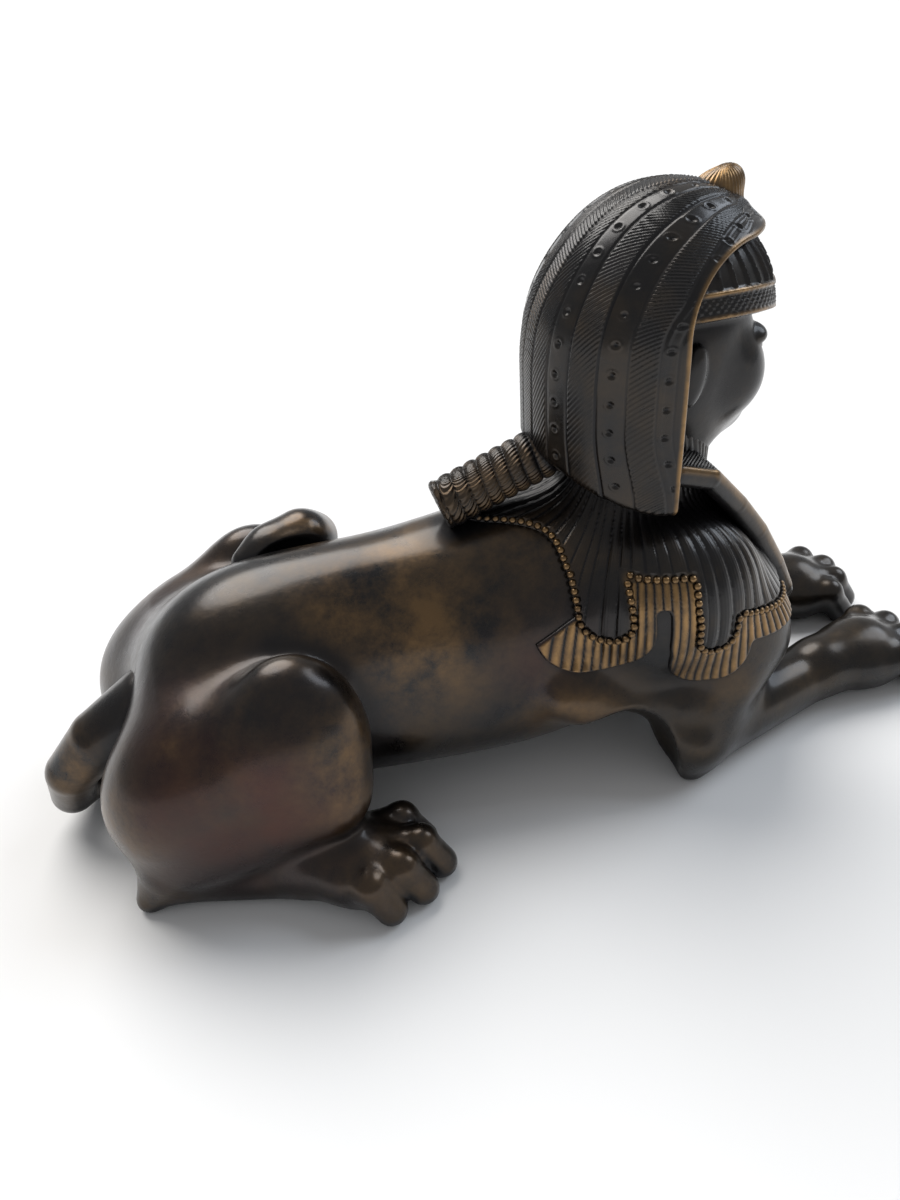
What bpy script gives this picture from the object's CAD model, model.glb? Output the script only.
"""Recumbent sphinx in patinated cast bronze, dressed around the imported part.

The casting's form is a distance function in millimetres, the same muscles, limbs and cloths as the solid has.
Each piece is that form meshed finely over its own region, set exactly on the form, then carved by moving its
points along their normals. Pieces meet at the creases where one form ends and the next begins.
"""
import math

import bpy
import numpy as np
from mathutils import Matrix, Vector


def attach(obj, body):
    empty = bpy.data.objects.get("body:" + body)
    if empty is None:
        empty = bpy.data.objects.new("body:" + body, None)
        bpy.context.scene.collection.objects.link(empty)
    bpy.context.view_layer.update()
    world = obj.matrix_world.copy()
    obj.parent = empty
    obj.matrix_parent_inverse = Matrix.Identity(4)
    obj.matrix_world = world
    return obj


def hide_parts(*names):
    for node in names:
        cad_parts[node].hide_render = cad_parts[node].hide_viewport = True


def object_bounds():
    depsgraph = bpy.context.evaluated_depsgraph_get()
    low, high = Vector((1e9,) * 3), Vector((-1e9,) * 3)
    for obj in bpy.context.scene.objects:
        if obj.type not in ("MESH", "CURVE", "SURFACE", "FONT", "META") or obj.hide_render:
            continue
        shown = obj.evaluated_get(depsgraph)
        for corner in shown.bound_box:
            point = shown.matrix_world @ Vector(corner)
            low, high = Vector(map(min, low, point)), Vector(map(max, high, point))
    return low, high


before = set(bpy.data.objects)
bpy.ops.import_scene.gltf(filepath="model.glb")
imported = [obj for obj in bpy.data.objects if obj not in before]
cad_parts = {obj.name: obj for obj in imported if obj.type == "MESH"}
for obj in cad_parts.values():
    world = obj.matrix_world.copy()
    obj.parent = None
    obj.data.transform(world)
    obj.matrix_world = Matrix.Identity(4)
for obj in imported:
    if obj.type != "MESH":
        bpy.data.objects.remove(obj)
cad_low, cad_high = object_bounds()

# ---------------------------------------------------------------- driving sizes, millimetres
# +X is the way the sphinx faces, +Y its left side, z = 0 the table. ORIGIN is the part's own origin on these axes.
ORIGIN = (15.04, -0.16)
BACK = 88.0
FLANK = 52.0
CHEST = 60.0
HAUNCH_Y = 57.0
ELBOW = (100.0, 79.0)
FORE_PAW = (251.0, 38.5)
HIND_PAW = (-92.0, 95.0)
FORE_TOE_IN = -9.0
HIND_TOE_OUT = 22.0
TOE = 8.6
HEAD_X = 102.5
CROWN = 313.5
HOOD = (62.5, 60.0, 63.0)
LEAN_NAPE = 6.0
LEAN_TOP = 3.0
LEAN_FROM = 230.0
LEAN_OVER = 70.0
HEM_SIDE = 166.0
HEM_NAPE = 190.0
OPENING_X = 92.0
OPENING_TOP = 291.0
OPENING_ROUND = 36.0
CHIN = 182.0
FACE_HEIGHT = 98.0
FACE_HALF_WIDTH = 39.0
FACE_FRONT = 155.0
QUEUE_RADIUS = 14.0
QUEUE_RIB = 7.6
LAPPET_THICK = 6.0
MANTLE = 2.0
MANTLE_REAR = 38.0
TAIL_RADIUS = 10.5


# ---------------------------------------------------------------- building blocks
def smin(a, b, k):
    h = np.maximum(k - np.abs(a - b), 0.0) / k
    return np.minimum(a, b) - h * h * k * 0.25


def smax(a, b, k):
    return -smin(-a, -b, k)


def ellipsoid(centre, radii, yaw=0.0, pitch=0.0, roll=0.0):
    """Ellipsoid turned by yaw about Z, then pitch (nose up), then roll, in degrees."""
    cy, sy = math.cos(math.radians(yaw)), math.sin(math.radians(yaw))
    cp, sp = math.cos(math.radians(pitch)), math.sin(math.radians(pitch))
    cr, sr = math.cos(math.radians(roll)), math.sin(math.radians(roll))
    rx, ry, rz = radii

    def distance(x, y, z):
        x, y, z = x - centre[0], y - centre[1], z - centre[2]
        if yaw:
            x, y = cy * x + sy * y, cy * y - sy * x
        if pitch:
            x, z = cp * x + sp * z, cp * z - sp * x
        if roll:
            y, z = cr * y + sr * z, cr * z - sr * y
        a, b, c = x / rx, y / ry, z / rz
        k0 = np.sqrt(a * a + b * b + c * c) + 1e-9
        k1 = np.sqrt((a / rx) ** 2 + (b / ry) ** 2 + (c / rz) ** 2) + 1e-9
        return k0 * (k0 - 1.0) / k1
    return distance


def limb(a, ra, b, rb):
    """Cone with round ends, from radius ra at a to rb at b."""
    bx, by, bz = b[0] - a[0], b[1] - a[1], b[2] - a[2]
    length2 = bx * bx + by * by + bz * bz
    dr = ra - rb
    slope = length2 - dr * dr

    def distance(x, y, z):
        x, y, z = x - a[0], y - a[1], z - a[2]
        along = x * bx + y * by + z * bz
        past = along - length2
        across2 = ((x * length2 - bx * along) ** 2 + (y * length2 - by * along) ** 2
                   + (z * length2 - bz * along) ** 2)
        k = math.copysign(dr * dr, dr) * across2
        near = np.sqrt(across2 + along * along * length2) / length2 - ra
        far = np.sqrt(across2 + past * past * length2) / length2 - rb
        middle = (np.sqrt(np.maximum(across2 * slope / length2, 0.0)) + along * dr) / length2 - ra
        return np.where(np.sign(past) * slope * past * past * length2 > k, far,
                        np.where(np.sign(along) * slope * along * along * length2 < k, near, middle))
    return distance


def join(first, *rest):
    """Solids joined in the order given; each of rest is (solid, fillet to what came before)."""
    def distance(x, y, z):
        d = first(x, y, z)
        for part, fillet in rest:
            d = smin(d, part(x, y, z), fillet)
        return d
    return distance


def chain(joints, fillet):
    """Limbs along joints (x, y, z, radius)."""
    links = [limb(a[:3], a[3], b[:3], b[3]) for a, b in zip(joints, joints[1:])]
    return join(links[0], *[(link, fillet) for link in links[1:]])


def placed(part, at, yaw):
    """A part moved to a place on the ground and turned about Z."""
    c, s = math.cos(math.radians(yaw)), math.sin(math.radians(yaw))
    return lambda x, y, z: part(c * (x - at[0]) + s * (y - at[1]), c * (y - at[1]) - s * (x - at[0]), z)


# ---------------------------------------------------------------- the lion
# toes of a paw, inner to outer: place across, reach of the tip ahead of the pad's middle, and its spread
FORE_TOES = ((-20.5, 21, -1), (-7.5, 30, 0), (7.5, 29, 1), (21.5, 19, 2.5))
HIND_TOES = ((-24, 23, -1), (-9, 35, 0), (7.5, 27, 1), (20.5, 12, 1.5))


def lion_paw(toe_list):
    toes = []
    for across, reach, spread in toe_list:
        knuckle = (reach - 10, across, 24)
        bone = limb((0, across * 0.8, 22), TOE + 0.5, (reach - 10, across, 25), TOE)
        tip = limb(knuckle, TOE, (reach, across + spread, TOE - 0.5), TOE)
        toes.append(join(bone, (tip, 4)))
    toes = join(toes[0], *[(toe, 2.5) for toe in toes[1:]])
    return join(ellipsoid((-6, 0, 17), (31, 25, 19), 0, -8),
                (limb((-40, 0, 22), 17, (-8, 0, 20), 19), 14),
                (toes, 6))


trunk = join(
    ellipsoid((-131, 0, 82), (62, FLANK, 59), 0, 8),
    (ellipsoid((-70, 0, BACK), (105, FLANK, 63)), 30),
    (ellipsoid((-15, 0, 54), (125, 58, 42)), 24),
    (ellipsoid((34, 0, BACK), (98, CHEST, 70)), 30),
    (ellipsoid((116, 0, 80), (68, CHEST, 68)), 26),
    (limb((88, 0, 126), 42, (104, 0, 200), 30), 24),
)

fore_leg = join(
    ellipsoid((98, 50, 106), (50, 33, 48), 0, 10),
    (limb((140, 46, 72), 34, (106, 72, 26), 20), 22),
    (limb((ELBOW[0], ELBOW[1], 24), 13, (ELBOW[0] + 1, ELBOW[1] + 3, 7), 8), 10),
    (limb((92, 66, 46), 16, (44, 58, 66), 14), 18),
    (limb((ELBOW[0], ELBOW[1], 22), 10, (30, 62, 66), 10), 12),
    (limb((112, 68, 20), 22, (208, 43, 17), 18), 12),
    (placed(lion_paw(FORE_TOES), FORE_PAW, FORE_TOE_IN), 10),
)

hind_leg = join(
    ellipsoid((-148, HAUNCH_Y, 65), (64, 38, 53), 6, 26, -6),
    (ellipsoid((-114, 71, 96), (33, 25, 43), 0, 8, 14), 18),
    (ellipsoid((-179, 46, 50), (39, 36, 45), 0, 12), 22),
    (limb((-108, 80, 60), 22, (-194, 66, 22), 14), 14),
    (limb((-196, 66, 20), 12, (-209, 69, 6), 7), 8),
    (limb((-200, 64, 10), 11, (-128, 82, 15), 17), 8),
    (placed(lion_paw(HIND_TOES), HIND_PAW, HIND_TOE_OUT), 10),
)

tail = chain([
    (-186, 0, 80, 22),
    (-219, 0, 65, TAIL_RADIUS + 6),
    (-240, 2, 44, TAIL_RADIUS + 3.5),
    (-245, 9, 23, TAIL_RADIUS + 2),
    (-230, 34, TAIL_RADIUS - 0.8, TAIL_RADIUS),
    (-208, 68, TAIL_RADIUS - 0.8, TAIL_RADIUS),
    (-178, 90, 22, TAIL_RADIUS),
    (-150, 97, 46, TAIL_RADIUS),
    (-122, 98, 76, TAIL_RADIUS),
    (-98, 94, 102, TAIL_RADIUS),
    (-80, 80, 120, TAIL_RADIUS),
], 0.5)

tuft_leaf = chain([
    (-80, 80, 120, TAIL_RADIUS),
    (-80, 58, 128, 11.5),
    (-88, 45, 135, 15),
    (-106, 36, 137, 13),
    (-122, 31, 137, 7),
], 12)
tuft_hollow = ellipsoid((-94, 17, 141), (27, 14, 12), 12)


def tuft(x, y, z):
    return smax(tuft_leaf(x, y, z), -tuft_hollow(x, y, z), 2)


armpit = ellipsoid((57, 76, 12), (38, 26, 47))     # the hollow under the web from flank to elbow


def lion(x, y, z):
    side = np.abs(y)
    d = smin(trunk(x, y, z), fore_leg(x, side, z), 16)
    d = smax(d, -armpit(x, side, z), 3)
    crease = 8 + 26 * np.clip((-118 - x) / 60, 0, 1)
    return smin(d, hind_leg(x, side, z), crease)


def tongue(x, z, x0, x1, z0, rounding):
    """Distance outside a flat rounded box that spans x0..x1 and rises from z0 without end."""
    dx = np.abs(x - (x0 + x1) / 2) - (x1 - x0) / 2 + rounding
    dz = z0 + rounding - z
    return np.hypot(np.maximum(dx, 0), np.maximum(dz, 0)) + np.minimum(np.maximum(dx, dz), 0) - rounding


def cape(x, side, z):
    rear = MANTLE_REAR - 40 * np.exp(-(side / 18) ** 2)
    d = smin(tongue(x, z, rear, 64, 103, 13), tongue(x, z, rear, 400, 138, 4), 5)
    d = smin(d, tongue(x, z, 95, 121, 92, 12), 5)
    return smin(d, tongue(x, z + 0.3 * (x - 121), 95, 400, 110, 4), 5)


def fringe(x, z):
    d = np.maximum(tongue(x, z, 14, 74, 85, 27), z - 114 - 0.45 * (x - 34))
    d = smin(d, tongue(x, z, 38, 400, 124, 3), 4)
    d = smin(d, tongue(x, z, 82, 131, 70, 21), 4)
    return smin(d, tongue(x, z + 0.1 * (x - 121), 82, 400, 92, 6), 4)


# ---------------------------------------------------------------- the headcloth
def hood_skin(x, y, z):
    """A dome over the head, carried down with the same plan. It leans back at the nape and forward on top."""
    middle = CROWN - HOOD[2]
    rise = np.clip((z - LEAN_FROM) / LEAN_OVER, 0, 1)
    lean = LEAN_NAPE - (LEAN_NAPE + LEAN_TOP) * rise * rise * (3 - 2 * rise)
    dx = (x + lean - HEAD_X) / HOOD[0]
    dy = y / HOOD[1]
    dz = np.maximum(z - middle, 0) / HOOD[2]
    k0 = np.sqrt(dx * dx + dy * dy + dz * dz) + 1e-9
    k1 = np.sqrt((dx / HOOD[0]) ** 2 + (dy / HOOD[1]) ** 2 + (dz / HOOD[2]) ** 2) + 1e-9
    nape = np.clip(1 - (x - 36) / 62, 0, 1)
    hem = HEM_SIDE + (HEM_NAPE - HEM_SIDE) * nape * nape
    return smax(k0 * (k0 - 1) / k1, hem - z, 4)


def opening(x, z):
    """Distance outside the opening for the face."""
    dx = OPENING_X + OPENING_ROUND - x
    dz = z - (OPENING_TOP - OPENING_ROUND)
    return np.hypot(np.maximum(dx, 0), np.maximum(dz, 0)) - OPENING_ROUND


def hood(x, y, z):
    return smax(hood_skin(x, y, z), -opening(x, z), 4)


LAPPET = ((92, 188, 34, 26), (112, 180, 34, 23), (134, 156, 31, 19), (153, 132, 28, 16), (172, 102, 25, 13), (186, 76, 23, 10))


def lappet(x, side, z):
    best = None
    for (xa, za, ya, wa), (xb, zb, yb, wb) in zip(LAPPET, LAPPET[1:]):
        bx, bz = xb - xa, zb - za
        h = np.clip(((x - xa) * bx + (z - za) * bz) / (bx * bx + bz * bz), 0, 1)
        thick = np.hypot(x - xa - h * bx, z - za - h * bz) - LAPPET_THICK
        wide = np.abs(side - (ya + h * (yb - ya))) - (wa + h * (wb - wa))
        flap = smax(thick, wide, 6)
        best = flap if best is None else np.minimum(best, flap)
    return best


QUEUE_ROOT = (52, 0, 189)
QUEUE_END = (-17, 0, 165)
queue_core = limb(QUEUE_ROOT, QUEUE_RADIUS, (-40, 0, 157), QUEUE_RADIUS)

uraeus = join(limb((137, 0, 284), 14, (132, 0, 302), 11), (limb((128, 0, 305), 8, (137, 0, 309), 7.5), 5))

# ---------------------------------------------------------------- the head
BROW = CHIN + FACE_HEIGHT * 2 / 3
NOSE_BASE = CHIN + FACE_HEIGHT / 3
MOUTH = CHIN + FACE_HEIGHT * 0.225
EYE = BROW - FACE_HEIGHT * 0.09
hair = ellipsoid((HEAD_X + 1.5, 0, 249), (57, 56, 58))
features = join(
    ellipsoid((FACE_FRONT - 46, 0, BROW - 17), (46, FACE_HALF_WIDTH, 54)),
    (ellipsoid((FACE_FRONT - 28, 0, MOUTH + 1), (27, 25, 26)), 16),
    (limb((FACE_FRONT - 5, 0, BROW - 3), 3.5, (FACE_FRONT + 7, 0, NOSE_BASE + 9), 5), 7),
)
nostrils = ellipsoid((FACE_FRONT + 1, 8, NOSE_BASE + 6), (7, 4.5, 5))
cheeks = ellipsoid((FACE_FRONT - 15, 20, NOSE_BASE + 6), (13, 14, 17))
lips = ellipsoid((FACE_FRONT - 3, 0, MOUTH), (6, 13, 5.5))
mouth_line = ellipsoid((FACE_FRONT + 4, 0, MOUTH), (4, 13, 1.4))
chin = ellipsoid((FACE_FRONT - 12, 0, CHIN + 12), (13, 14, 12))
socket = ellipsoid((FACE_FRONT + 1, 18, EYE), (6, 13, 7), -24)
eyeball = ellipsoid((FACE_FRONT - 9, 17, EYE), (9, 11, 6), -18)
ear = ellipsoid((104, FACE_HALF_WIDTH + 1, (BROW + NOSE_BASE) / 2), (7, 5, 16), 0, -8)
neck = limb((106, 0, 214), 28, (100, 0, 150), 33)


def head(x, y, z):
    side = np.abs(y)
    face = features(x, y, z)
    face = smin(face, cheeks(x, side, z), 14)
    face = smin(face, chin(x, y, z), 10)
    face = smax(face, -socket(x, side, z), 5)
    face = smin(face, eyeball(x, side, z), 1.5)
    face = smin(face, nostrils(x, side, z), 4)
    face = smin(face, lips(x, y, z), 5)
    face = smax(face, -mouth_line(x, y, z), 2)
    face = smin(face, ear(x, side, z), 3)
    under = BROW + 7 - z + 0.35 * np.maximum(side - 30, 0)
    cap = smax(hair(x, y, z), under * 0.94, 4)
    return smin(smin(face, cap, 4), neck(x, y, z), 12)


# ---------------------------------------------------------------- every form of the casting
def over_table(form):
    """The form, cut flat where it meets the table."""
    return lambda x, y, z: smax(form(x, y, z), -z, 1)


def mantle(x, y, z):
    """The cape with its fringe: a shell that lies on the shoulders, sunk into them on its inner side."""
    side = np.abs(y)
    d = lion(x, y, z)
    region = np.minimum(cape(x, side, z), fringe(x, z))
    return smax(np.maximum(d - MANTLE, -d - 4), region, 1.4)


def queue(x, y, z):
    bx, bz = QUEUE_END[0] - QUEUE_ROOT[0], QUEUE_END[2] - QUEUE_ROOT[2]
    length = math.hypot(bx, bz)
    s = ((x - QUEUE_ROOT[0]) * bx + (z - QUEUE_ROOT[2]) * bz) / length
    ribs = np.abs(np.sin(math.pi * (s + y * 0.18) / QUEUE_RIB))
    return smax(queue_core(x, y, z) + 1.8 * (1 - np.sqrt(ribs + 1e-6)), s - length, 3)


def lappets(x, y, z):
    return lappet(x, np.abs(y), z)


def tail_and_tuft(x, y, z):
    return np.minimum(tail(x, y, z), tuft(x, y, z))


FORMS = {
    "lion": over_table(lion),
    "tail": over_table(tail_and_tuft),
    "mantle": mantle,
    "headcloth": hood,
    "lappets": lappets,
    "head": head,
    "queue": queue,
    "cobra": uraeus,
}


def others(name):
    rest = [form for other, form in FORMS.items() if other != name]

    def distance(x, y, z):
        d = rest[0](x, y, z)
        for form in rest[1:]:
            d = np.minimum(d, form(x, y, z))
        return d
    return distance


# ---------------------------------------------------------------- meshing
CHUNK = 60000
COARSE = 4
CORNERS = [(i, j, k) for i in (0, 1) for j in (0, 1) for k in (0, 1)]


def sample(form, points):
    """The form's value at each row of points, in chunks that stay in the cache."""
    out = np.empty(len(points))
    for start in range(0, len(points), CHUNK):
        x, y, z = points[start:start + CHUNK].T
        out[start:start + CHUNK] = form(x, y, z)
    return out


def lattice(form, low, high, step):
    """The form sampled on a box lattice; away from the skin only its sign is kept."""
    cells = [int(math.ceil((b - a) / step / COARSE)) for a, b in zip(low, high)]
    axes = [a + step * COARSE * np.arange(n + 1) for a, n in zip(low, cells)]
    grid = np.stack(np.meshgrid(*axes, indexing="ij"), -1).reshape(-1, 3)
    rough = sample(form, grid).reshape([n + 1 for n in cells])
    corners = np.stack([rough[i:i + cells[0], j:j + cells[1], k:k + cells[2]] for i, j, k in CORNERS])
    near = (np.abs(corners).min(0) < 1.5 * COARSE * step) | (corners.min(0) * corners.max(0) < 0)
    values = np.repeat(np.repeat(np.repeat(rough, COARSE, 0), COARSE, 1), COARSE, 2)
    values = values[:1 - COARSE, :1 - COARSE, :1 - COARSE]
    fine = np.zeros(values.shape, bool)
    block = np.repeat(np.repeat(np.repeat(near, COARSE, 0), COARSE, 1), COARSE, 2)
    for i, j, k in CORNERS:
        fine[i:i + block.shape[0], j:j + block.shape[1], k:k + block.shape[2]] |= block
    where = np.argwhere(fine)
    values[fine] = sample(form, np.array(low) + step * where)
    return values


def net(form, low, high, step):
    """Quads over the form's skin: one point in each lattice cell that the skin crosses."""
    values = lattice(form, low, high, step)
    inside = values < 0
    m = [n - 1 for n in values.shape]
    count = sum(inside[i:i + m[0], j:j + m[1], k:k + m[2]].astype(np.int8) for i, j, k in CORNERS)
    cell = np.argwhere((count > 0) & (count < 8))
    label = np.full(m, -1, np.int32)
    label[tuple(cell.T)] = np.arange(len(cell))
    total = np.zeros((len(cell), 3))
    hits = np.zeros(len(cell))
    for a in CORNERS:
        for axis in range(3):
            if a[axis]:
                continue
            b = list(a)
            b[axis] = 1
            va = values[tuple((cell + a).T)]
            vb = values[tuple((cell + b).T)]
            crossed = (va < 0) != (vb < 0)
            t = va / np.where(crossed, va - vb, 1)
            point = np.array(a, float) + np.outer(t, np.array(b) - np.array(a))
            total += point * crossed[:, None]
            hits += crossed
    points = np.array(low) + step * (cell + total / hits[:, None])
    quads = []
    for axis in range(3):
        u, v = (axis + 1) % 3, (axis + 2) % 3
        first = [slice(1, -1)] * 3
        second = [slice(1, -1)] * 3
        first[axis], second[axis] = slice(0, -1), slice(1, None)
        changed = inside[tuple(first)] != inside[tuple(second)]
        edge = np.argwhere(changed) + 1
        edge[:, axis] -= 1
        steps = [(-1, -1), (0, -1), (0, 0), (-1, 0)]
        ring = []
        for du, dv in steps:
            at = edge.copy()
            at[:, u] += du
            at[:, v] += dv
            ring.append(label[tuple(at.T)])
        ring = np.stack(ring, 1)
        backward = ~inside[tuple(edge.T)]
        ring[backward] = ring[backward][:, ::-1]
        quads.append(ring)
    return points, np.concatenate(quads)


def slope(form, points, reach):
    """Gradient of the form by central differences."""
    out = np.empty_like(points)
    for axis in range(3):
        offset = np.zeros(3)
        offset[axis] = reach
        out[:, axis] = (sample(form, points + offset) - sample(form, points - offset)) / (2 * reach)
    return out


def settle(form, points, step):
    """Moves points onto the skin along its slope; returns them with their normals."""
    for _ in range(3):
        d = sample(form, points)
        g = slope(form, points, 0.1)
        g2 = np.maximum((g * g).sum(1), 0.2)
        move = np.clip(d / g2, -step, step)
        points = points - g * move[:, None]
    g = slope(form, points, 0.3)
    return points, g / np.maximum(np.linalg.norm(g, axis=1), 1e-9)[:, None]


def keep_shown(points, quads, hidden):
    """Drops the quads that lie wholly inside another piece, and the points that only they used."""
    shown = ~hidden[quads].all(1)
    quads = quads[shown]
    used = np.zeros(len(points), bool)
    used[quads] = True
    renumber = np.cumsum(used) - 1
    return used, renumber[quads]


# ---------------------------------------------------------------- carving
def smooth(t):
    t = np.clip(t, 0, 1)
    return t * t * (3 - 2 * t)


def near_zero(d, width):
    """1 where d is zero, falling to 0 at width."""
    return smooth(1 - np.abs(d) / width)


PIVOT_X = 168.0                  # the stripes of the headcloth fan out from here, over the brow
PIVOT_HALF = PIVOT_X - HEAD_X    # from the pivot to the middle of the crown
MIDDLE_STRIPE = 6.0              # half width of the stripe over the spine
STRIPE_EDGES = (8.0, 13.5, 20.0, 26.0, 32.0, 35.5)   # degrees from the spine
DOT_ROWS = ((10.4, 2.0), (23.0, 6.5), (33.8, 4.0))   # degrees, and how far the row is shifted along
DOT_PITCH = 14.3
HATCH_PITCH = 1.75
HATCH_DEPTH = 0.2


def stripe_map(x, y, z):
    """Where a point of the headcloth lies: degrees from the spine, mm across and mm down its stripe."""
    side = np.abs(y)
    middle = CROWN - HOOD[2]
    out = np.hypot(PIVOT_X - x, side)
    angle = np.degrees(np.arctan2(side, PIVOT_X - x))
    round_front = np.clip(32 + 0.6 * (x - 140), 0, 60) * smooth((x - 124) / 8)
    angle = (angle ** 5 + round_front ** 5) ** 0.2
    angle = angle * (1 - 0.10 * smooth((215 - z) / 45) - 0.12 * smooth((x - 60) / 50) * smooth((z - 255) / 20))
    turn = np.arctan2(z - middle, out - PIVOT_HALF * np.cos(np.radians(angle)))
    down = np.where(z > middle, -60 * turn, middle - z)
    return angle, np.radians(angle) * out, down, out


def hatched(across, down, lean):
    """Phase of chased strokes that lean by an angle in degrees from straight across."""
    c, s = math.cos(math.radians(lean)), math.sin(math.radians(lean))
    return (down * c + across * s) / HATCH_PITCH


def carve_headcloth(x, y, z):
    angle, across, down, out = stripe_map(x, y, z)
    side = np.abs(y)
    skin = near_zero(hood_skin(x, y, z), 3.0)
    edges = [side - MIDDLE_STRIPE] + [np.radians(angle - e) * out for e in STRIPE_EDGES]
    level = np.zeros_like(x)
    weave = np.zeros_like(x)
    phase = np.zeros_like(x)
    bands = ((None, 0, -24), (0, 1, 62), (2, 3, 55), (4, 5, 52))
    for first, last, lean in bands:
        inner = -edges[last] if first is None else np.minimum(edges[first], -edges[last])
        on = smooth(inner / 0.9 + 0.5)
        level = level + 0.4 * on
        weave = np.where(inner > 0.5, smooth((inner - 0.5) / 0.8), weave)
        w = -y if first is None else across
        phase = np.where(inner > 0, hatched(w, down, lean), phase)
    height = level
    groove = np.zeros_like(x)
    for number, edge in enumerate(edges):
        wide = number in (0, 2, 3)
        height = height - (0.75 if wide else 0.45) * near_zero(edge, 1.1)
        groove = np.maximum(groove, (1.0 if wide else 0.5) * near_zero(edge, 1.2))
    height = height + 0.35 * near_zero(edges[5] - 1.6, 1.0) + 0.35 * near_zero(edges[6] - 1.6, 1.0)
    depth = np.where(side < MIDDLE_STRIPE, 1.5, 1.0) * HATCH_DEPTH * (0.4 + 0.6 * smooth((z - 215) / 60))
    height = height + depth * weave * np.sin(2 * math.pi * phase)
    for row, shift in DOT_ROWS:
        along = (down + shift + DOT_PITCH / 2) % DOT_PITCH - DOT_PITCH / 2
        r = np.hypot(np.radians(angle - row) * out, along)
        height = height - 1.0 * smooth(1 - r / 2.0) + 0.25 * near_zero(r - 2.3, 0.9)
        groove = np.maximum(groove, smooth(1 - r / 1.8))
    rim = near_zero(opening(x, z) - 1.6, 2.2) * near_zero(hood_skin(x, y, z), 4.5)
    border = smooth((opening(x, z) - 3.0) / 1.0)
    height = height * border * skin + 0.9 * rim
    return {"height": height, "phase": phase, "hatch": weave * border * skin, "gild": rim,
            "groove": groove * border * skin}


PLEAT_FAN_X = 92.0
PLEAT_PITCH = 5.9
FRINGE_PITCH = 3.3
FAN_RADIUS = 60.0


def carve_mantle(x, y, z):
    side = np.abs(y)
    outer = near_zero(lion(x, y, z) - MANTLE, 1.2)
    fan = np.arctan2(side, x - PLEAT_FAN_X) * FAN_RADIUS
    wander = 0.5 * np.sin(fan * 0.35 + 1.3) + 0.25 * np.sin(fan * 0.83 + z * 0.03)
    on_cape = smooth(-(cape(x, side, z) + 3.2) / 1.0)
    pleat = np.abs(np.sin(math.pi * (fan + wander) / PLEAT_PITCH))
    rib = np.abs(np.sin(math.pi * fan / FRINGE_PITCH))
    in_fringe = smooth(cape(x, side, z) / 0.8 + 0.5) * smooth(-(fringe(x, z) + 0.6) / 0.8)
    height = on_cape * (1.3 * pleat ** 0.5 - 0.6) + in_fringe * (1.2 * rib ** 0.7 - 0.8)
    groove = on_cape * smooth(1 - pleat / 0.45) + in_fringe * smooth(1 - rib / 0.6)
    channel = near_zero(cape(x, side, z) + 1.2, 2.4)
    height = height - 0.7 * channel
    gild = np.maximum(in_fringe * (0.15 + 0.85 * rib ** 1.5), 0.4 * channel)
    return {"height": height * outer, "gild": gild, "phase": fan / 1.3, "hatch": 0.25 * on_cape,
            "groove": groove * outer}


def carve_lappets(x, y, z):
    side = np.abs(y)
    mid = np.interp(x, [row[0] for row in LAPPET], [row[2] for row in LAPPET])
    half = np.interp(x, [row[0] for row in LAPPET], [row[3] for row in LAPPET])
    inward = half - np.abs(side - mid)
    above = (z - np.interp(x, [row[0] for row in LAPPET], [row[1] for row in LAPPET])) * 0.6
    rim = near_zero(inward - 1.5, 2.8) * smooth((above - 1.0) / 2.5)
    phase = hatched(side - mid, x - z, 48)
    weave = smooth((inward - 3.5) / 1.5)
    height = 0.5 * rim - 0.45 * near_zero(inward - 4.0, 1.0) + HATCH_DEPTH * weave * np.sin(2 * math.pi * phase)
    return {"height": height * smooth((above + 1) / 3), "phase": phase, "hatch": weave, "gild": rim}


def carve_queue(x, y, z):
    around = np.arctan2(y, z - 180) * QUEUE_RADIUS
    bx, bz = QUEUE_END[0] - QUEUE_ROOT[0], QUEUE_END[2] - QUEUE_ROOT[2]
    down = ((x - QUEUE_ROOT[0]) * bx + (z - QUEUE_ROOT[2]) * bz) / math.hypot(bx, bz)
    phase = hatched(around, down, 60) * 0.9
    return {"height": 0.16 * np.sin(2 * math.pi * phase), "phase": phase, "hatch": np.ones_like(x),
            "gild": 0.15 * smooth((1 - y / 12) / 2)}


BAND_LOW = BROW + 8.5
BAND_HIGH = BROW + 19.5


def carve_head(x, y, z):
    side = np.abs(y)
    on_hair = near_zero(hair(x, y, z), 3.0)
    around = np.arctan2(y, x - HEAD_X) * 56
    ridge = np.abs((around / 9.5) % 1.0 - 0.5) * 9.5
    lift = 0.35 * np.maximum(side - 30, 0)
    height_on_brow = z - lift
    above = smooth((height_on_brow - BAND_HIGH - 1) / 1.5)
    height = above * (1.5 * near_zero(ridge, 1.5) - 0.5)
    edges = near_zero(height_on_brow - BAND_LOW, 1.5) + near_zero(height_on_brow - BAND_HIGH, 1.5)
    height = height + 1.1 * edges
    curls = np.cos(around * 2 * math.pi / 4.2) * np.cos((height_on_brow - BAND_LOW) * 2 * math.pi / 3.7)
    inside = smooth((height_on_brow - BAND_LOW - 1.2) / 1.0) * smooth((BAND_HIGH - 1.2 - height_on_brow) / 1.0)
    height = height + 0.55 * inside * curls
    return {"height": height * on_hair, "gild": edges * on_hair}


def carve_cobra(x, y, z):
    """Fine strokes down the hood of the cobra, rubbed to gold-brown at its top."""
    strokes = np.arctan2(y, 134 - x) * 9
    return {"height": 0.15 * np.sin(2 * math.pi * strokes / 1.8), "phase": strokes / 1.8,
            "hatch": np.full_like(x, 0.5), "gild": 0.75 * smooth((z - 297) / 9)}


def carve_nothing(x, y, z):
    return {}


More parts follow.
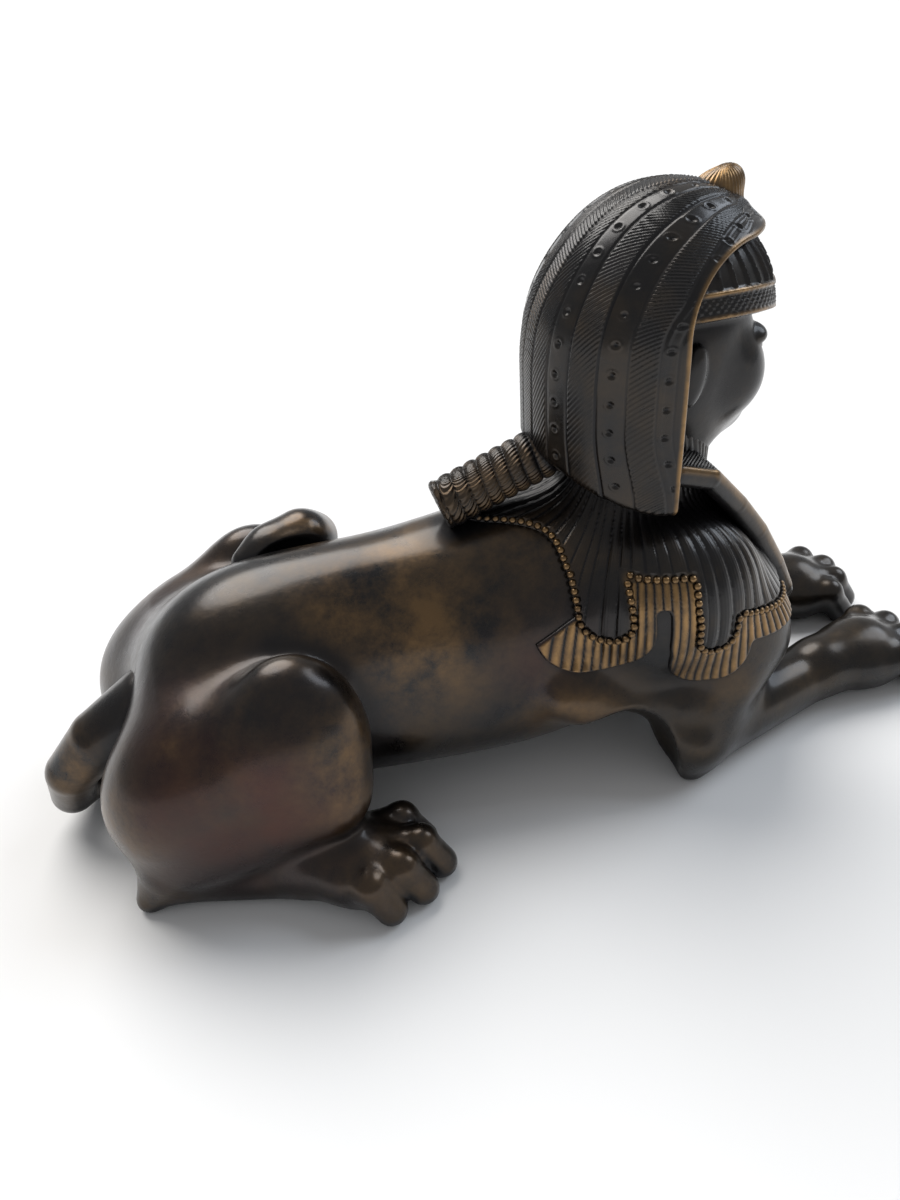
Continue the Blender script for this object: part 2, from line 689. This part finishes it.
# ---------------------------------------------------------------- making the pieces
WORN = ((-45, 40, 120, 42, 0.8), (20, 30, 150, 30, 0.35), (-88, 92, 84, 30, 0.9), (-150, 70, 100, 30, 0.25),
        (-79, 38, 139, 22, 0.9), (-51, 40, 146, 24, 0.9), (-181, 74, 114, 10, 1.0), (-237, 8, 58, 22, 0.8),
        (-209, 60, 60, 24, 0.6),
        (30, 60, 60, 28, 0.7), (120, 62, 60, 22, 0.5), (-196, 66, 12, 16, 0.9), (-80, 105, 20, 40, 0.3))
RUDDY = ((-150, 85, 70, 50, 1.0), (-175, 60, 110, 40, 0.5), (20, 62, 100, 26, 0.4))


def blobs(points, spots):
    """Soft patches at (x, side, z, radius, strength), alike on both flanks."""
    out = np.zeros(len(points))
    for x, side, z, radius, strength in spots:
        r2 = ((points[:, 0] - x) ** 2 + (np.abs(points[:, 1]) - side) ** 2 + (points[:, 2] - z) ** 2) / radius ** 2
        out = np.maximum(out, strength * np.exp(-r2))
    return out


def shade(points, normals, everything):
    """How enclosed each point is, from how soon the casting comes back above it: 0 open, 1 buried."""
    out = np.zeros(len(points))
    for reach, weight in ((3.0, 0.25), (9.0, 0.35), (25.0, 0.4)):
        d = sample(everything, points + normals * reach)
        out += weight * np.clip(1 - d / reach, 0, 1)
    return out


def everything(x, y, z):
    d = None
    for form in FORMS.values():
        value = form(x, y, z)
        d = value if d is None else np.minimum(d, value)
    return np.minimum(d, z + 0.5)


def to_row(points):
    """Form millimetres to the part's own frame in metres."""
    moved = (points - np.array((ORIGIN[0], ORIGIN[1], 0.0))) / 1000
    return np.clip(moved, np.array(cad_low), np.array(cad_high))


def mesh_object(name, points, faces, attributes):
    mesh = bpy.data.meshes.new(name)
    mesh.vertices.add(len(points))
    mesh.vertices.foreach_set("co", to_row(points).astype(np.float32).ravel())
    sides = faces.shape[1]
    mesh.loops.add(faces.size)
    mesh.loops.foreach_set("vertex_index", faces.astype(np.int32).ravel())
    mesh.polygons.add(len(faces))
    mesh.polygons.foreach_set("loop_start", np.arange(0, faces.size, sides, dtype=np.int32))
    mesh.polygons.foreach_set("use_smooth", np.ones(len(faces), bool))
    for key, values in attributes.items():
        layer = mesh.attributes.new(key, "FLOAT", "POINT")
        layer.data.foreach_set("value", values.astype(np.float32))
    mesh.update()
    mesh.validate()
    piece = bpy.data.objects.new(name, mesh)
    bpy.context.scene.collection.objects.link(piece)
    return piece


def build(name, form, box, step, carve):
    """Meshes a form over its box, drops what other pieces hide, carves it and makes the Blender piece."""
    low, high = box
    points, quads = net(form, low, high, step)
    points, normals = settle(form, points, step)
    hidden = sample(others(name), points) < -2.0
    used, quads = keep_shown(points, quads, hidden)
    points, normals = points[used], normals[used]
    carved = carve(*points.T)
    height = carved.pop("height", np.zeros(len(points)))
    groove = carved.pop("groove", np.zeros(len(points)))
    attributes = {
        "enclosed": np.maximum(shade(points, normals, everything), 0.85 * groove),
        "worn": blobs(points, WORN),
        "ruddy": blobs(points, RUDDY),
    }
    attributes.update(carved)
    points = points + normals * height[:, None]
    print(name, len(quads) * 2, "triangles")
    return mesh_object(name, points, quads, attributes)


# ---------------------------------------------------------------- beads along the cape's border
BEAD_RADIUS = 2.1
BEAD_PITCH = 4.6
BEAD_INSET = 1.2
BEAD_CELLS = 4


def bead_places():
    """Points one pitch apart where the cape's border meets its skin, from the spine to the chest."""
    def on_skin(x, y, z):
        return lion(x, y, z) - MANTLE

    def on_border(x, y, z):
        return cape(x, np.abs(y), z) + BEAD_INSET

    def value_and_slope(form, point):
        reach = 0.2
        offsets = np.vstack([np.zeros(3), np.eye(3) * reach, -np.eye(3) * reach])
        d = form(*(point + offsets).T)
        return d[0], (d[1:4] - d[4:7]) / (2 * reach)

    def fall(point):
        for _ in range(6):
            for form in (on_skin, on_border):
                d, g = value_and_slope(form, point)
                point = point - np.clip(d / max(g @ g, 0.3), -2, 2) * g
        return point

    point = fall(np.array((3.0, -6.0, 155.0)))
    places = [point]
    sense = 0.0
    while point[0] < 168 and point[1] < 0 and len(places) < 120:
        along = np.cross(value_and_slope(on_skin, point)[1], value_and_slope(on_border, point)[1])
        along /= max(np.linalg.norm(along), 1e-6)
        sense = sense or math.copysign(1.0, along[0])
        along *= sense
        point = fall(point + BEAD_PITCH * along)
        step = point - places[-1]
        point = places[-1] + step * BEAD_PITCH / max(np.linalg.norm(step), 1e-6)
        places.append(point)
    right = np.array(places)
    return np.vstack([right, right * (1, -1, 1)])


def bead_shape():
    """Points and quads of a unit ball, gridded like a cube."""
    points, quads = [], []
    known = {}
    steps = np.linspace(-1, 1, BEAD_CELLS + 1)

    def index(p):
        key = tuple(np.round(p, 4))
        if key not in known:
            known[key] = len(points)
            points.append(np.array(p) / np.linalg.norm(p))
        return known[key]

    for axis in range(3):
        for side in (-1, 1):
            for i in range(BEAD_CELLS):
                for j in range(BEAD_CELLS):
                    ring = []
                    for a, b in ((i, j), (i + 1, j), (i + 1, j + 1), (i, j + 1)):
                        p = np.zeros(3)
                        p[axis], p[(axis + 1) % 3], p[(axis + 2) % 3] = side, steps[a], steps[b]
                        ring.append(index(p))
                    quads.append(ring if side > 0 else ring[::-1])
    return np.array(points), np.array(quads)


def bead_row():
    """The beads as one piece."""
    places = bead_places()
    ball, quads = bead_shape()
    points = (places[:, None, :] + BEAD_RADIUS * ball[None]).reshape(-1, 3)
    faces = (quads[None] + len(ball) * np.arange(len(places))[:, None, None]).reshape(-1, 4)
    normals = np.tile(ball, (len(places), 1))
    attributes = {
        "enclosed": shade(points, normals, everything),
        "worn": blobs(points, WORN),
        "ruddy": blobs(points, RUDDY),
        "gild": np.full(len(points), 0.8),
    }
    print("beads", len(places), len(faces) * 2, "triangles")
    return mesh_object("beads", points, faces, attributes)


# ---------------------------------------------------------------- bronze
def node(tree, kind, **inputs):
    made = tree.nodes.new(kind)
    for key, value in inputs.items():
        setattr(made, key, value)
    return made


def bronze_material():
    material = bpy.data.materials.new("bronze_patina")
    material.use_nodes = True
    tree = material.node_tree
    link = tree.links.new
    shader = tree.nodes["Principled BSDF"]
    shader.inputs["Metallic"].default_value = 0.88
    shader.inputs["Coat Weight"].default_value = 0.45
    shader.inputs["Coat Roughness"].default_value = 0.2
    place = node(tree, "ShaderNodeTexCoord").outputs["Object"]

    def attribute(name):
        return node(tree, "ShaderNodeAttribute", attribute_name=name).outputs["Fac"]

    def noise(scale, detail=4.0, rough=0.55, vector=place):
        made = node(tree, "ShaderNodeTexNoise")
        made.inputs["Scale"].default_value = scale
        made.inputs["Detail"].default_value = detail
        made.inputs["Roughness"].default_value = rough
        link(vector, made.inputs["Vector"])
        return made.outputs["Fac"]

    def maths(operation, a, b=0.0, clamp=False):
        made = node(tree, "ShaderNodeMath", operation=operation, use_clamp=clamp)
        for socket, value in zip(made.inputs, (a, b)):
            if isinstance(value, (int, float)):
                socket.default_value = value
            else:
                link(value, socket)
        return made.outputs[0]

    def ramp(value, *stops):
        """stops: (position, colour or grey)"""
        made = node(tree, "ShaderNodeValToRGB")
        elements = made.color_ramp.elements
        while len(elements) < len(stops):
            elements.new(0.5)
        for element, (position, colour) in zip(elements, stops):
            element.position = position
            element.color = (*colour, 1) if isinstance(colour, tuple) else (colour, colour, colour, 1)
        link(value, made.inputs["Fac"])
        return made.outputs["Color"]

    def mix(amount, a, b, blend="MIX"):
        made = node(tree, "ShaderNodeMix", data_type="RGBA", blend_type=blend)
        link(amount, made.inputs["Factor"])
        for socket, value in ((made.inputs["A"], a), (made.inputs["B"], b)):
            if isinstance(value, tuple):
                socket.default_value = (*value, 1)
            else:
                link(value, socket)
        return made.outputs["Result"]

    clouds = noise(14.0, 5.0, 0.6)
    mottle = noise(60.0, 6.0, 0.65)
    grain = noise(420.0, 3.0, 0.6)
    patina = ramp(maths("ADD", maths("MULTIPLY", clouds, 0.7), maths("MULTIPLY", mottle, 0.3)),
                  (0.30, (0.009, 0.009, 0.011)), (0.46, (0.017, 0.016, 0.016)), (0.60, (0.036, 0.027, 0.019)),
                  (0.75, (0.085, 0.055, 0.028)))
    ruddy = maths("MULTIPLY", attribute("ruddy"), ramp(noise(22.0, 4.0), (0.30, 0.15), (0.62, 1.0)))
    colour = mix(ruddy, patina, (0.060, 0.018, 0.011))
    worn = maths("MULTIPLY", attribute("worn"), ramp(noise(30.0, 6.0, 0.7), (0.36, 0.0), (0.62, 1.0)))
    colour = mix(worn, colour, (0.190, 0.108, 0.042))
    gild = maths("MULTIPLY", attribute("gild"), ramp(noise(110.0, 4.0, 0.6), (0.25, 0.35), (0.60, 1.0)))
    colour = mix(gild, colour, (0.290, 0.168, 0.062))
    enclosed = attribute("enclosed")
    dirt = ramp(maths("ADD", enclosed, maths("MULTIPLY", mottle, 0.25)), (0.30, 0.0), (0.75, 1.0))
    colour = mix(dirt, colour, (0.012, 0.011, 0.012))
    link(colour, shader.inputs["Base Color"])

    rough = ramp(mottle, (0.25, 0.20), (0.75, 0.36))
    rough = maths("ADD", rough, maths("MULTIPLY", dirt, 0.30))
    rough = maths("ADD", rough, maths("MULTIPLY", grain, 0.06), clamp=True)
    link(rough, shader.inputs["Roughness"])

    stroke = maths("SINE", maths("MULTIPLY", attribute("phase"), 2 * math.pi))
    stroke = maths("MULTIPLY", stroke, maths("MULTIPLY", attribute("hatch"), 0.00022))
    skin = maths("MULTIPLY", grain, 0.00006)
    lumps = maths("MULTIPLY", noise(130.0, 4.0, 0.6), 0.00025)
    bump = node(tree, "ShaderNodeBump")
    bump.inputs["Strength"].default_value = 0.8
    bump.inputs["Distance"].default_value = 1.0
    link(maths("ADD", stroke, maths("ADD", skin, lumps)), bump.inputs["Height"])
    link(bump.outputs["Normal"], shader.inputs["Normal"])
    return material


# ---------------------------------------------------------------- the pieces
SPECS = {
    # name: (lowest corner, highest corner), lattice step, carving
    "lion": (((-228, -137, -5), (294, 137, 236)), 2.1, carve_nothing),
    "tail": (((-260, -20, -5), (-60, 114, 166)), 1.4, carve_nothing),
    "mantle": (((-14, -94, 60), (200, 94, 206)), 0.81, carve_mantle),
    "headcloth": (((34, -66, 158), (170, 66, 318)), 0.74, carve_headcloth),
    "lappets": (((78, -68, 60), (200, 68, 204)), 0.85, carve_lappets),
    "head": (((38, -54, 132), (178, 54, 314)), 0.85, carve_head),
    "queue": (((-34, -22, 138), (76, 22, 212)), 0.6, carve_queue),
    "cobra": (((110, -20, 264), (158, 20, 322)), 0.6, carve_cobra),
}

bronze = bronze_material()
pieces = []
for name, (box, step, carve) in SPECS.items():
    piece = build(name, FORMS[name], box, step, carve)
    piece.data.materials.append(bronze)
    pieces.append(piece)
beads = bead_row()
beads.data.materials.append(bronze)
pieces.append(beads)

for piece in pieces:
    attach(piece, "root")
    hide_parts("sphinx")

# ---------------------------------------------------------------- floor, light and camera
def flat_material(name, colour, roughness):
    material = bpy.data.materials.new(name)
    material.use_nodes = True
    shader = material.node_tree.nodes["Principled BSDF"]
    shader.inputs["Base Color"].default_value = (*colour, 1)
    shader.inputs["Roughness"].default_value = roughness
    return material


FLOOR_HALF = 12.0
floor_mesh = bpy.data.meshes.new("floor")
corners = [(-1, -1), (1, -1), (1, 1), (-1, 1)]
floor_mesh.from_pydata([(a * FLOOR_HALF, b * FLOOR_HALF, 0) for a, b in corners], [], [(0, 1, 2, 3)])
floor = bpy.data.objects.new("floor", floor_mesh)
floor.data.materials.append(flat_material("pale_floor", (0.86, 0.86, 0.86), 0.7))
bpy.context.scene.collection.objects.link(floor)


def facing(toward, place):
    """Stands at place and looks away from toward, as lamps do."""
    back = np.array(toward, float)
    back /= np.linalg.norm(back)
    right = np.cross((0, 0, 1), back)
    right /= np.linalg.norm(right)
    up = np.cross(back, right)
    return Matrix([[right[i], up[i], back[i], place[i]] for i in range(3)] + [[0, 0, 0, 1]])


def sun(name, toward, spread, power, colour):
    """A soft distant light: toward points at it, spread is its width in degrees."""
    light = bpy.data.lights.new(name, "SUN")
    light.angle = math.radians(spread)
    light.energy = power
    light.color = colour
    lamp = bpy.data.objects.new(name, light)
    bpy.context.scene.collection.objects.link(lamp)
    lamp.matrix_world = facing(toward, (0, 0, 1))
    return lamp


sun("window_behind", (-0.15, 0.75, 0.95), 46, 2.9, (1.0, 0.975, 0.94))
sun("window_ahead", (0.9, 0.15, 0.75), 34, 1.1, (0.82, 0.90, 1.0))

world = bpy.data.worlds.new("studio")
world.use_nodes = True
world.node_tree.nodes["Background"].inputs["Color"].default_value = (0.97, 0.98, 1.0, 1)
world.node_tree.nodes["Background"].inputs["Strength"].default_value = 0.36
bpy.context.scene.world = world
bpy.context.scene.view_settings.view_transform = "Standard"

# The view: three quarters from behind the right flank, looking down, the camera tilted a little.
VIEW_AZIMUTH = -0.25140
VIEW_ELEVATION = 0.62727
VIEW_ROLL = -0.07676
VIEW_PLACE = (-123.95, -424.91, 421.08)
FOCAL = 950.93 / 1200 * 36       # mm on a 36 mm tall sensor

back = np.array((math.sin(VIEW_AZIMUTH) * math.cos(VIEW_ELEVATION),
                 -math.cos(VIEW_AZIMUTH) * math.cos(VIEW_ELEVATION),
                 math.sin(VIEW_ELEVATION)))
right = np.cross(-back, (0, 0, 1))
right /= np.linalg.norm(right)
up = np.cross(right, -back)
c, s = math.cos(VIEW_ROLL), math.sin(VIEW_ROLL)
right, up = c * right + s * up, c * up - s * right
place = (np.array(VIEW_PLACE) - np.array((ORIGIN[0], ORIGIN[1], 0))) / 1000
camera = bpy.data.objects.new("camera", bpy.data.cameras.new("camera"))
camera.data.lens = FOCAL
camera.data.sensor_width = 36.0
camera.data.clip_start = 0.02
camera.data.clip_end = 60.0
camera.matrix_world = Matrix([[right[i], up[i], back[i], place[i]] for i in range(3)] + [[0, 0, 0, 1]])
bpy.context.scene.collection.objects.link(camera)
bpy.context.scene.camera = camera
